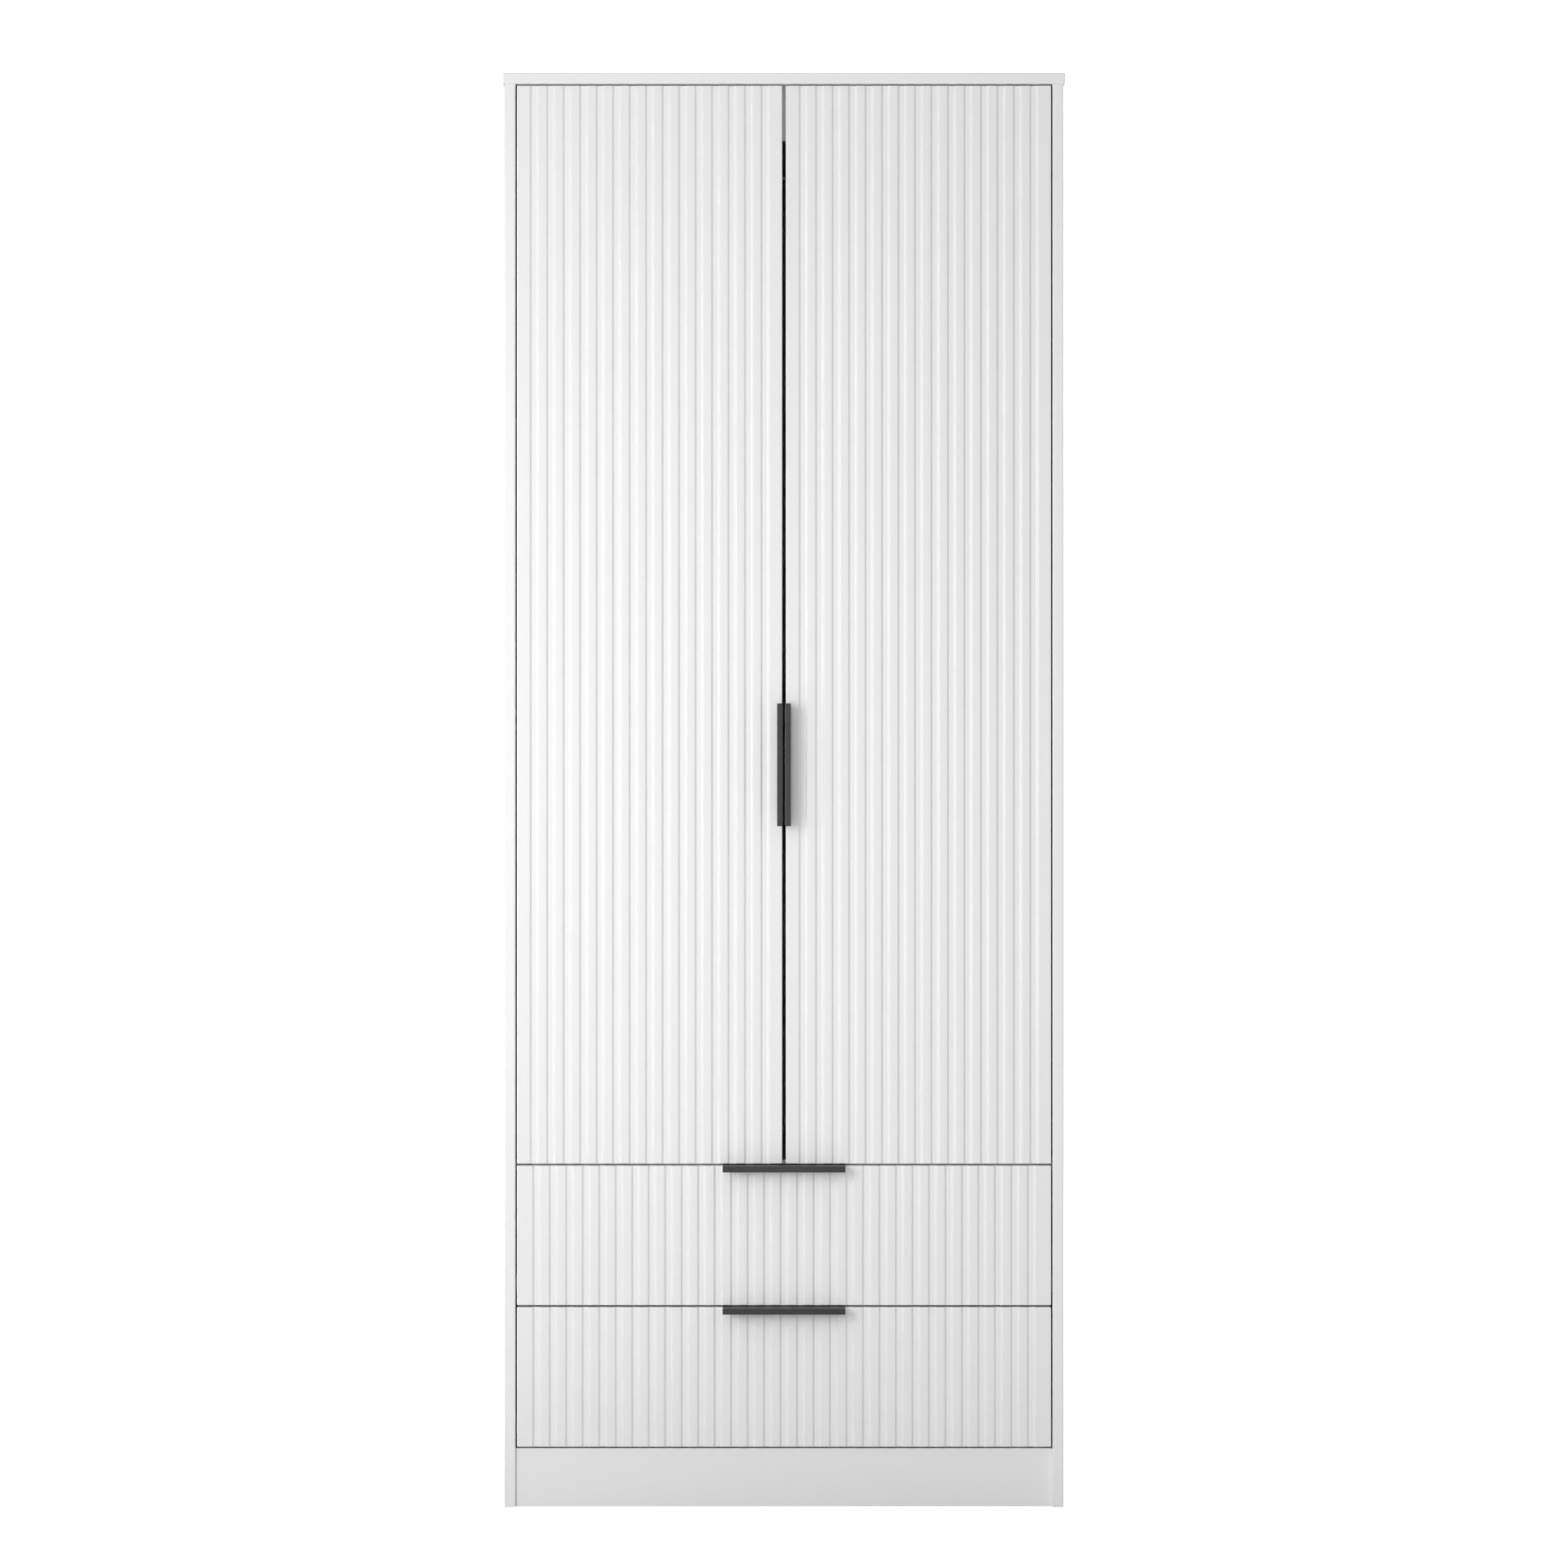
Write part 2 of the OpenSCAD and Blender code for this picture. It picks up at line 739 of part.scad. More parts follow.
// Puts a pull's frame on the top edge of a drawer front that starts at the given height
module on_drawer_edge(front_z) {
    translate([-pull_len / 2, y_front, front_z + drawer_front_h])
        multmatrix([[0, 0, 1, 0], [1, 0, 0, 0], [0, 1, 0, 0], [0, 0, 0, 1]]) children();
}

// ---------------------------------------------------------------- doors

module right_door_panel() {
    color("white") difference() {
        translate([centre_gap / 2, y_front, door_z]) fluted_front(door_w, door_h, door_flutes);
        at_hinges() {
            translate([cup_x, front_t - cup_depth - eps, 0]) to_back()
                cylinder(r = cup_r + eps, h = cup_depth + cut, $fn = 72);
            at_cup_screws() screw_hole(cup_screw);
        }
        on_door_edge() pull_screw_holes();
    }
}

module right_door_pull() color("#202020") on_door_edge() pull();
module right_pull_screws() color("silver") on_door_edge() pull_screws();
module right_hinge_cups() color("silver") at_hinges() hinge_cup();
module right_hinge_pins() color("silver") at_hinges() hinge_pin();
module right_cup_screws() color("silver") at_hinges() at_cup_screws() screw(cup_screw);

module left_door_panel() mirror([1, 0, 0]) right_door_panel();
module left_door_pull() mirror([1, 0, 0]) right_door_pull();
module left_pull_screws() mirror([1, 0, 0]) right_pull_screws();
module left_hinge_cups() mirror([1, 0, 0]) right_hinge_cups();
module left_hinge_pins() mirror([1, 0, 0]) right_hinge_pins();
module left_cup_screws() mirror([1, 0, 0]) right_cup_screws();

// ---------------------------------------------------------------- drawers

// Runs its child at the middle of each front cam on the right drawer side's inner face
module at_cams(box_z) {
    for (z = cam_zs) translate([box_x - box_t, y_front + cam_y, box_z + z]) children();
}

// A cam's bolt, or its hole when play is given, from the cam forward into the drawer front
module cam_bolt(play = 0) {
    length = cam_y - front_t + bolt_in_front - cam_r;
    translate([cam_h / 2, -cam_r + play * 5, 0]) to_front()
        cylinder(r = bolt_r + play, h = length + play * 10);
}

// Runs its child at each screw through the right drawer side into the back, +Z pointing out
module at_back_screws(box_z) {
    for (z = back_screw_zs)
        translate([box_x - back_screw[1], y_front + front_t + box_d - box_t / 2, box_z + z])
            to_right() children();
}

// Runs its child at each screw through the right drawer runner's web, +Z pointing out
module at_member_screws(box_z) {
    for (y = member_screw_ys)
        translate([box_x + runner_t, y_front + front_t + y, box_z + member_screw_z])
            to_right() children();
}

// Space of the drawer base and its grooves when play is given
module base_sheet(box_z, play = 0) {
    half = box_x - box_t + base_groove + play;
    translate([-half, y_front + front_t - base_groove - play, box_z + base_lift - play])
        cube([2 * half, base_groove + box_d + 2 * play, base_t + 2 * play]);
}

module drawer_front(front_z, box_z) {
    color("white") difference() {
        translate([-drawer_front_w / 2, y_front, front_z])
            fluted_front(drawer_front_w, drawer_front_h, drawer_flutes);
        base_sheet(box_z, groove_play);
        both_sides() at_cams(box_z) cam_bolt(eps);
        on_drawer_edge(front_z) pull_screw_holes();
    }
}

module drawer_pull(front_z) color("#202020") on_drawer_edge(front_z) pull();
module drawer_pull_screws(front_z) color("silver") on_drawer_edge(front_z) pull_screws();

module drawer_side(box_z) {
    color("white") difference() {
        translate([box_x - box_t, y_front + front_t, box_z]) cube([box_t, box_d, box_h]);
        base_sheet(box_z, groove_play);
        at_cams(box_z) {
            cam_bolt(eps);
            translate([-cut, 0, 0]) to_right() cylinder(r = cam_r + eps, h = cam_h + cut + eps);
        }
        at_back_screws(box_z) {
            screw_hole(back_screw);
            cylinder(r = back_screw[0] + 0.1, h = back_screw[1] + cut);
        }
        at_member_screws(box_z) screw_hole(member_screw);
    }
}

module drawer_back(box_z) {
    bottom = base_lift + base_t + groove_play;
    color("white") difference() {
        translate([-box_x + box_t, y_front + front_t + box_d - box_t, box_z + bottom])
            cube([2 * (box_x - box_t), box_t, box_h - box_back_drop - bottom]);
        both_sides() at_back_screws(box_z) screw_hole(back_screw);
    }
}

module drawer_base(box_z) color("white") base_sheet(box_z);

// Right-hand drawer member: it wraps the lower edge of the side and carries the rear axle
module drawer_runner(box_z) {
    length = box_d - 4;
    difference() {
        union() {
            translate([box_x, y_front + front_t + 2, box_z]) {
                translate([-lap, 0, -runner_t]) cube([lap + runner_t, length, runner_t]);
                translate([0, 0, -runner_t]) cube([runner_t, length, runner_web + runner_t]);
                translate([0, 0, runner_web - runner_t])
                    cube([runner_t + flange_reach, length, runner_t]);
            }
            translate([box_x + runner_t / 2, y_front + rear_roller_y, box_z + rear_roller_z])
                to_right() {
                    cylinder(r = axle_r, h = rear_axle_len);
                    translate([0, 0, rear_axle_len]) cylinder(r = axle_head_r, h = axle_head_h);
                }
        }
        at_member_screws(box_z) screw_hole(member_screw);
    }
}

module drawer_runners(box_z) color("gainsboro") both_sides() drawer_runner(box_z);

// Cams with their bolts, screws into the drawer back and screws of the runners
module drawer_fixings(box_z) {
    color("silver") both_sides() {
        at_cams(box_z) {
            cam_bolt();
            difference() {
                to_right() cylinder(r = cam_r, h = cam_h);
                translate([-cut, -5, -0.9]) cube([4, 10, 1.8]);
                translate([-cut, -0.9, -5]) cube([4, 1.8, 10]);
                cam_bolt(eps);
            }
        }
        at_back_screws(box_z) screw(back_screw);
        at_member_screws(box_z) screw(member_screw);
    }
}

// ---------------------------------------------------------------- runners and rollers

// Runs its child at each screw through the right cabinet channel's web
module at_channel_screws(box_z) {
    for (y = channel_screw_ys)
        translate([side_x - runner_t, y_front + y, box_z + channel_z + channel_h / 2]) children();
}

// Right-hand cabinet member: a channel for the rear roller, with the front axle ahead of it
module cabinet_runner(box_z) {
    flange_y = front_roller_y + front_roller_r + 2 - runner_y;
    difference() {
        union() {
            translate([side_x, y_front + runner_y, box_z + channel_z]) mirror([1, 0, 0]) {
                cube([runner_t, runner_len, channel_h]);
                for (z = [0, channel_h - runner_t])
                    translate([0, flange_y, z]) cube([channel_w, runner_len - flange_y, runner_t]);
            }
            translate([side_x - runner_t / 2, y_front + front_roller_y, box_z + front_roller_z])
                to_left() {
                    cylinder(r = axle_r, h = front_axle_len);
                    translate([0, 0, front_axle_len]) cylinder(r = axle_head_r, h = axle_head_h);
                }
        }
        at_channel_screws(box_z) to_left() flush_screw_hole(channel_screw);
    }
}

module cabinet_runners(box_z) color("gainsboro") both_sides() cabinet_runner(box_z);

module cabinet_runner_screws() {
    color("silver") both_sides()
        for (z = [upper_box_z, lower_box_z])
            at_channel_screws(z) to_left() flush_screw(channel_screw);
}

// A nylon roller along X with bevelled rims, centred at its own origin
module roller(r) {
    half = roller_w / 2;
    bore = axle_r + roller_play;
    rim = r - roller_bevel;
    to_right() rotate_extrude($fn = 64) polygon([
        [bore, -half], [rim, -half], [r, roller_bevel - half],
        [r, half - roller_bevel], [rim, half], [bore, half]]);
}

module cabinet_rollers(box_z) {
    color("ivory") both_sides()
        translate([side_x - front_roller_x, y_front + front_roller_y, box_z + front_roller_z])
            roller(front_roller_r);
}

module drawer_rollers(box_z) {
    color("ivory") both_sides()
        translate([box_x + rear_roller_x, y_front + rear_roller_y, box_z + rear_roller_z])
            roller(rear_roller_r);
}

// ---------------------------------------------------------------- wall brackets

module at_wall_holes() {
    for (side = [-1, 1])
        translate([side * bracket_x, inner_back_y, side_h - wall_hole_drop]) children();
}

// Runs its child at each bracket screw, under the horizontal leg
module at_bracket_screws() {
    for (side = [-1, 1], dx = [-bracket_screw_dx, bracket_screw_dx])
        translate([side * bracket_x + dx, inner_back_y - bracket_leg / 2 - 4, side_h - bracket_t])
            children();
}

module screw_hole_up() {
    translate([0, 0, -cut]) cylinder(r = bracket_screw[2] + eps, h = cut + bracket_screw[3] + eps);
}

module wall_brackets() {
    color("silver") difference() {
        for (side = [-1, 1]) translate([side * bracket_x - bracket_w / 2, inner_back_y, side_h]) {
            translate([0, -bracket_leg, -bracket_t]) cube([bracket_w, bracket_leg, bracket_t]);
            translate([0, -bracket_t, -bracket_leg]) cube([bracket_w, bracket_t, bracket_leg]);
        }
        at_wall_holes() to_back() cylinder(r = wall_hole_r, h = 20, center = true);
        at_bracket_screws() screw_hole_up();
    }
}

module wall_bracket_screws() {
    color("silver") at_bracket_screws() mirror([0, 0, 1]) screw(bracket_screw);
}

// ---------------------------------------------------------------- the two drawers

module upper_drawer_front() drawer_front(upper_front_z, upper_box_z);
module upper_drawer_pull() drawer_pull(upper_front_z);
module upper_pull_screws() drawer_pull_screws(upper_front_z);
module upper_drawer_left_side() mirror([1, 0, 0]) drawer_side(upper_box_z);
module upper_drawer_right_side() drawer_side(upper_box_z);
module upper_drawer_back() drawer_back(upper_box_z);
module upper_drawer_base() drawer_base(upper_box_z);
module upper_drawer_runners() drawer_runners(upper_box_z);
module upper_drawer_fixings() drawer_fixings(upper_box_z);
module upper_cabinet_runners() cabinet_runners(upper_box_z);
module upper_cabinet_rollers() cabinet_rollers(upper_box_z);
module upper_drawer_rollers() drawer_rollers(upper_box_z);

module lower_drawer_front() drawer_front(lower_front_z, lower_box_z);
module lower_drawer_pull() drawer_pull(lower_front_z);
module lower_pull_screws() drawer_pull_screws(lower_front_z);
module lower_drawer_left_side() mirror([1, 0, 0]) drawer_side(lower_box_z);
module lower_drawer_right_side() drawer_side(lower_box_z);
module lower_drawer_back() drawer_back(lower_box_z);
module lower_drawer_base() drawer_base(lower_box_z);
module lower_drawer_runners() drawer_runners(lower_box_z);
module lower_drawer_fixings() drawer_fixings(lower_box_z);
module lower_cabinet_runners() cabinet_runners(lower_box_z);
module lower_cabinet_rollers() cabinet_rollers(lower_box_z);
module lower_drawer_rollers() drawer_rollers(lower_box_z);

// ---------------------------------------------------------------- the model

left_side_panel();
right_side_panel();
top_panel();
divider_panel();
base_panel();
door_stop_board();
plinth_board();
rear_plinth_board();
upper_back_panel();
lower_back_panel();
carcass_dowels();
back_panel_nails();
hanging_rail();
rail_sockets();
rail_socket_screws();
left_hinge_plates();
right_hinge_plates();
hinge_plate_screws();
left_hinge_arms();
right_hinge_arms();
hinge_arm_screws();
upper_cabinet_runners();
lower_cabinet_runners();
cabinet_runner_screws();
wall_brackets();
wall_bracket_screws();
left_door_panel();
left_door_pull();
left_pull_screws();
left_hinge_cups();
left_hinge_pins();
left_cup_screws();
right_door_panel();
right_door_pull();
right_pull_screws();
right_hinge_cups();
right_hinge_pins();
right_cup_screws();
upper_drawer_front();
upper_drawer_pull();
upper_pull_screws();
upper_drawer_left_side();
upper_drawer_right_side();
upper_drawer_back();
upper_drawer_base();
upper_drawer_runners();
upper_drawer_fixings();
upper_cabinet_rollers();
upper_drawer_rollers();
lower_drawer_front();
lower_drawer_pull();
lower_pull_screws();
lower_drawer_left_side();
lower_drawer_right_side();
lower_drawer_back();
lower_drawer_base();
lower_drawer_runners();
lower_drawer_fixings();
lower_cabinet_rollers();
lower_drawer_rollers();
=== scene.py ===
"""White two-door wardrobe with fluted fronts: looks, stage, light and camera round its CAD frame."""

import json
import math

import bmesh
import bpy
from mathutils import Matrix, Vector


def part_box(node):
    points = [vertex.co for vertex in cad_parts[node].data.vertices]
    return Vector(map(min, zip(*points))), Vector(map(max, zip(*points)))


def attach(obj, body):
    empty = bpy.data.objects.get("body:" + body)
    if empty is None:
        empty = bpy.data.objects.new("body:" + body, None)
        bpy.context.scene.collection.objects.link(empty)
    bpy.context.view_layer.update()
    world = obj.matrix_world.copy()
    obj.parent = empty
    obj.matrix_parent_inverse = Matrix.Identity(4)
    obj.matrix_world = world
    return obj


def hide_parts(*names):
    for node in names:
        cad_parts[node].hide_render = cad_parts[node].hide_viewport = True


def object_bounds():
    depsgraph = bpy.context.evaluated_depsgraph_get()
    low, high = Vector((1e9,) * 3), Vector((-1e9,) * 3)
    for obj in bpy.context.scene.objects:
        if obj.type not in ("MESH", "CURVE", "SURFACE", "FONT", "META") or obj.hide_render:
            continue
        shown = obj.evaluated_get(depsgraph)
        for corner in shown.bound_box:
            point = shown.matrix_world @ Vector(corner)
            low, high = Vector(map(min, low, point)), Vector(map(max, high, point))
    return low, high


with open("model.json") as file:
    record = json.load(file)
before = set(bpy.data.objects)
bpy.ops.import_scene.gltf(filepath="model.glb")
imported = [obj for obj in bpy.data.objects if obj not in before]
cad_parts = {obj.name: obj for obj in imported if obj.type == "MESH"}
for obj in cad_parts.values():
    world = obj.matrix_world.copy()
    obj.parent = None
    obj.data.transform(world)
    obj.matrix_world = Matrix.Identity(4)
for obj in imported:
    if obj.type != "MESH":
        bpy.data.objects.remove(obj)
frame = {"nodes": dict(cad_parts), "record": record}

MM = 0.001
CAD_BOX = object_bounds()
nodes = frame["nodes"]
CREASE_ANGLE = math.radians(40)     # faces that meet at more than this make a real edge

# ------------------------------------------------------------------ fluted fronts

EDGE_R = 1.5 * MM           # radius round each front's face
CORNER_R = 1.8 * MM         # radius of a front's four corners, seen from the front
BACK_CHAMFER = 0.4 * MM
FLUTE_PITCH = 22.65 * MM
FLUTE_W = 9.5 * MM
FLUTE_WALL = 3.4 * MM       # width over which a groove's wall goes down
FLUTE_DEPTH = 3.0 * MM
WALL_STEPS = 12
EDGE_STEPS = 7
LEVEL_STEP = 30 * MM        # height of a front's rows of faces, away from its ends
FLAT_INSET = 0.35 * MM      # a support row beside each curve keeps the flats flat
RUN_OUT_POWER = 4           # a high power lets a groove run out sharply into the rounded edge

BORE_SIDES = 96
BORE_TURN = Matrix.Rotation(math.pi / 2, 3, "X")
BACK_FACING = 0.99          # a face whose normal has at least this much of +Y is part of the back
LARGE_FACE_WEIGHT = 80      # 50 would weigh all faces alike


def flute_depth(t):
    """Depth of a groove wall at a share t of its width."""
    return FLUTE_DEPTH * (1 - math.cos(math.pi * t)) / 2


def wall_stations(x, down):
    """[x, depth] pairs across one groove wall centred at x."""
    rows = []
    for i in range(WALL_STEPS + 1):
        t = i / WALL_STEPS
        rows.append((x + (t - 0.5) * FLUTE_WALL, flute_depth(t if down else 1 - t)))
    return rows


def edge_offsets():
    """Distances from an edge at which a front gets a row of vertices for its rounding and corners."""
    rounding = [EDGE_R * (1 - math.cos(math.pi / 2 * i / EDGE_STEPS)) for i in range(EDGE_STEPS)]
    corner = [EDGE_R, CORNER_R, CORNER_R + FLAT_INSET]
    return rounding + corner


def front_stations(width, flutes):
    """[x, depth] pairs across a whole front, from one edge to the other."""
    offsets = edge_offsets()
    rows = [(x, 0.0) for x in offsets]
    first = (width - (flutes - 1) * FLUTE_PITCH - FLUTE_W) / 2
    for i in range(flutes):
        left = first + i * FLUTE_PITCH
        middle = left + FLUTE_W / 2
        half = FLUTE_W / 2 - FLUTE_WALL / 2 - FLAT_INSET
        rows.append((left - FLUTE_WALL / 2 - FLAT_INSET, 0.0))
        rows += wall_stations(left, True)
        rows.append((middle - half, FLUTE_DEPTH))
        rows.append((middle + half, FLUTE_DEPTH))
        rows += wall_stations(left + FLUTE_W, False)
        rows.append((left + FLUTE_W + FLUTE_WALL / 2 + FLAT_INSET, 0.0))
    rows += [(width - x, 0.0) for x in reversed(offsets)]
    return rows


def level_stations(height):
    """Heights at which a front gets a row of vertices."""
    offsets = edge_offsets()
    inner = height - 2 * offsets[-1]
    levels = max(1, round(inner / LEVEL_STEP))
    middle = [offsets[-1] + inner * i / levels for i in range(1, levels)]
    return offsets + middle + [height - z for z in reversed(offsets)]


def rounded_place(x, z, width, height):
    """Moves a grid point near a corner onto circular rings; returns its place and edge distance."""
    cx = min(max(x, CORNER_R), width - CORNER_R)
    cz = min(max(z, CORNER_R), height - CORNER_R)
    dx, dz = x - cx, z - cz
    edge = min(x, z, width - x, height - z)
    if dx == 0 or dz == 0:
        return x, z, edge
    length = math.hypot(dx, dz)
    ring = max(abs(dx), abs(dz))
    return cx + dx / length * ring, cz + dz / length * ring, edge


def rounding_depth(edge):
    """How far the face has turned back at a distance from the edge."""
    if edge >= EDGE_R:
        return 0.0
    return EDGE_R - math.sqrt(max(0.0, EDGE_R ** 2 - (EDGE_R - edge) ** 2))


def shrunk(value, middle, half, inset):
    """Moves a coordinate in by the inset if it lies on the outline's rounded border."""
    if abs(value - middle) > half - EDGE_R:
        return value - math.copysign(inset, value - middle)
    return value


def fluted_front(name, node, flutes):
    """A fluted panel that fills a CAD front's box, with the flutes running out at both ends."""
    low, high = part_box(node)
    middle = (low + high) / 2
    width, thick, height = high - low
    stations = front_stations(width, flutes)
    levels = level_stations(height)
    columns, rows = len(stations), len(levels)
    verts, faces = [], []
    for z in levels:
        for x, depth in stations:
            px, pz, edge = rounded_place(x, z, width, height)
            turned = (depth ** RUN_OUT_POWER + rounding_depth(edge) ** RUN_OUT_POWER) ** (1 / RUN_OUT_POWER)
            verts.append((low.x + px, low.y + turned, low.z + pz))
    for row in range(rows - 1):
        for column in range(columns - 1):
            a = row * columns + column
            faces.append((a, a + 1, a + columns + 1, a + columns))
    # the rim, walked anticlockwise seen from the front
    rim = list(range(columns))
    rim += [row * columns + columns - 1 for row in range(1, rows)]
    rim += [(rows - 1) * columns + column for column in range(columns - 2, -1, -1)]
    rim += [row * columns for row in range(rows - 2, 0, -1)]
    rings = [rim]
    for depth, inset in ((thick - BACK_CHAMFER, 0.0), (thick, BACK_CHAMFER)):
        ring = []
        for r in rim:
            x, _, z = verts[r]
            ring.append(len(verts))
            verts.append((shrunk(x, middle.x, width / 2, inset), low.y + depth,
                          shrunk(z, middle.z, height / 2, inset)))
        rings.append(ring)
    for near, far in zip(rings, rings[1:]):
        for i in range(len(rim)):
            k = (i + 1) % len(rim)
            faces.append((near[k], near[i], far[i], far[k]))
    faces.append(tuple(reversed(rings[-1])))
    mesh = bpy.data.meshes.new(name)
    mesh.from_pydata(verts, [], faces)
    mesh.validate()
    piece = bpy.data.objects.new(name, mesh)
    bpy.context.scene.collection.objects.link(piece)
    return piece


def bore(piece, centre, radius, near_y, far_y):
    """Cuts a round hole along Y out of a piece, with the cut applied to its mesh."""
    cutter_mesh = bpy.data.meshes.new("cutter")
    tool = bmesh.new()
    bmesh.ops.create_cone(tool, cap_ends=True, segments=BORE_SIDES, radius1=radius, radius2=radius,
                          depth=far_y - near_y)
    bmesh.ops.rotate(tool, verts=tool.verts, matrix=BORE_TURN)
    bmesh.ops.translate(tool, verts=tool.verts,
                        vec=(centre[0], (near_y + far_y) / 2, centre[1]))
    tool.to_mesh(cutter_mesh)
    tool.free()
    cutter = bpy.data.objects.new("cutter", cutter_mesh)
    bpy.context.scene.collection.objects.link(cutter)
    cut = piece.modifiers.new("bore", "BOOLEAN")
    cut.operation = "DIFFERENCE"
    cut.solver = "EXACT"
    cut.object = cutter
    graph = bpy.context.evaluated_depsgraph_get()
    graph.update()
    made = bpy.data.meshes.new_from_object(piece.evaluated_get(graph))
    piece.modifiers.remove(cut)
    piece.data = made
    bpy.data.objects.remove(cutter)


def smooth_shading(piece):
    """Smooth faces with creases at the real edges; faces that look backwards stay flat."""
    mesh = piece.data
    tool = bmesh.new()
    tool.from_mesh(mesh)
    for face in tool.faces:
        face.smooth = face.normal.y < BACK_FACING
    for edge in tool.edges:
        edge.smooth = not (len(edge.link_faces) == 2 and edge.calc_face_angle(0) > CREASE_ANGLE)
    tool.to_mesh(mesh)
    tool.free()


def weighted_normals(piece, keep_sharp=True):
    """Shading normals that follow each vertex's largest faces, so that flats look flat."""
    normals = piece.modifiers.new("flat_faces_stay_flat", "WEIGHTED_NORMAL")
    normals.mode = "FACE_AREA"
    normals.weight = LARGE_FACE_WEIGHT
    normals.keep_sharp = keep_sharp


# ------------------------------------------------------------------ materials

EDGE_STARTS = 0.98          # cosine between a face and its rounded normal where an edge's wear starts
EDGE_FULL = 0.75            # and where it is full
EDGE_SAMPLES = 4


class Material:
    """A node material under construction, over the piece's own coordinates in metres.

    A texture's scale is about the number of its features in a metre.
    """

    def __init__(self, name, **fixed):
        self.made = bpy.data.materials.new(name)
        self.made.use_nodes = True
        self.tree = self.made.node_tree
        self.shader = self.tree.nodes["Principled BSDF"]
        for socket, value in fixed.items():
            self.shader.inputs[socket.replace("_", " ")].default_value = value
        coords = self.tree.nodes.new("ShaderNodeTexCoord")
        self.place = coords.outputs["Object"]
        self.facing = coords.outputs["Normal"]

    def put(self, value, socket):
        """Links an output to a socket, or sets the socket to a plain value."""
        if isinstance(value, bpy.types.NodeSocket):
            self.tree.links.new(value, socket)
        else:
            socket.default_value = value

    def set(self, socket, value):
        """Puts an output or a value into one of the shader's sockets."""
        self.put(value, self.shader.inputs[socket])

    def stretch(self, x, y, z):
        """The coordinates multiplied along each axis."""
        node = self.tree.nodes.new("ShaderNodeMapping")
        node.inputs["Scale"].default_value = (x, y, z)
        self.put(self.place, node.inputs["Vector"])
        return node.outputs["Vector"]

    def noise(self, scale, detail=3.0, rough=0.55, where=None, twist=0.0):
        """Cloudy noise, 0 to 1."""
        node = self.tree.nodes.new("ShaderNodeTexNoise")
        node.inputs["Scale"].default_value = scale
        node.inputs["Detail"].default_value = detail
        node.inputs["Roughness"].default_value = rough
        node.inputs["Distortion"].default_value = twist
        self.put(where or self.place, node.inputs["Vector"])
        return node.outputs["Fac"]

    def cells(self, scale, where=None):
        """Cells with a shade of their own each."""
        node = self.tree.nodes.new("ShaderNodeTexVoronoi")
        node.inputs["Scale"].default_value = scale
        self.put(where or self.place, node.inputs["Vector"])
        return node.outputs["Color"]

    def spread(self, value, low, high, to_low=0.0, to_high=1.0):
        """Maps low..high onto to_low..to_high and holds the ends."""
        node = self.tree.nodes.new("ShaderNodeMapRange")
        self.put(value, node.inputs["Value"])
        for socket, number in (("From Min", low), ("From Max", high),
                               ("To Min", to_low), ("To Max", to_high)):
            node.inputs[socket].default_value = number
        return node.outputs["Result"]

    def maths(self, operation, a, b):
        """One arithmetic operation on two values."""
        node = self.tree.nodes.new("ShaderNodeMath")
        node.operation = operation
        self.put(a, node.inputs[0])
        self.put(b, node.inputs[1])
        return node.outputs[0]

    def part_of(self, vector, axis):
        """The X, Y or Z of a vector."""
        node = self.tree.nodes.new("ShaderNodeSeparateXYZ")
        self.put(vector, node.inputs[0])
        return node.outputs[axis]

    def blend(self, share, a, b):
        """Colour a at a share of 0, colour b at 1."""
        node = self.tree.nodes.new("ShaderNodeMix")
        node.data_type = "RGBA"
        self.put(share, node.inputs["Factor"])
        self.put(a if isinstance(a, bpy.types.NodeSocket) else (*a, 1.0), node.inputs["A"])
        self.put(b if isinstance(b, bpy.types.NodeSocket) else (*b, 1.0), node.inputs["B"])
        return node.outputs["Result"]

    def bump(self, height, distance, strength=1.0, under=None):
        """A normal that follows a height, laid over an earlier bump if one is given."""
        node = self.tree.nodes.new("ShaderNodeBump")
        node.inputs["Strength"].default_value = strength
        node.inputs["Distance"].default_value = distance
        self.put(height, node.inputs["Height"])
        if under is not None:
            self.put(under, node.inputs["Normal"])
        return node.outputs["Normal"]

    def edges(self, radius):
        """1 along convex and concave edges, fading to 0 within the radius."""
        soft = self.tree.nodes.new("ShaderNodeBevel")
        soft.samples = EDGE_SAMPLES
        soft.inputs["Radius"].default_value = radius
        true = self.tree.nodes.new("ShaderNodeNewGeometry")
        dot = self.tree.nodes.new("ShaderNodeVectorMath")
        dot.operation = "DOT_PRODUCT"
        self.put(soft.outputs["Normal"], dot.inputs[0])
        self.put(true.outputs["Normal"], dot.inputs[1])
        return self.spread(dot.outputs["Value"], EDGE_STARTS, EDGE_FULL)


def scaled(colour, factor):
    """A colour made lighter or darker."""
    return tuple(c * factor for c in colour)


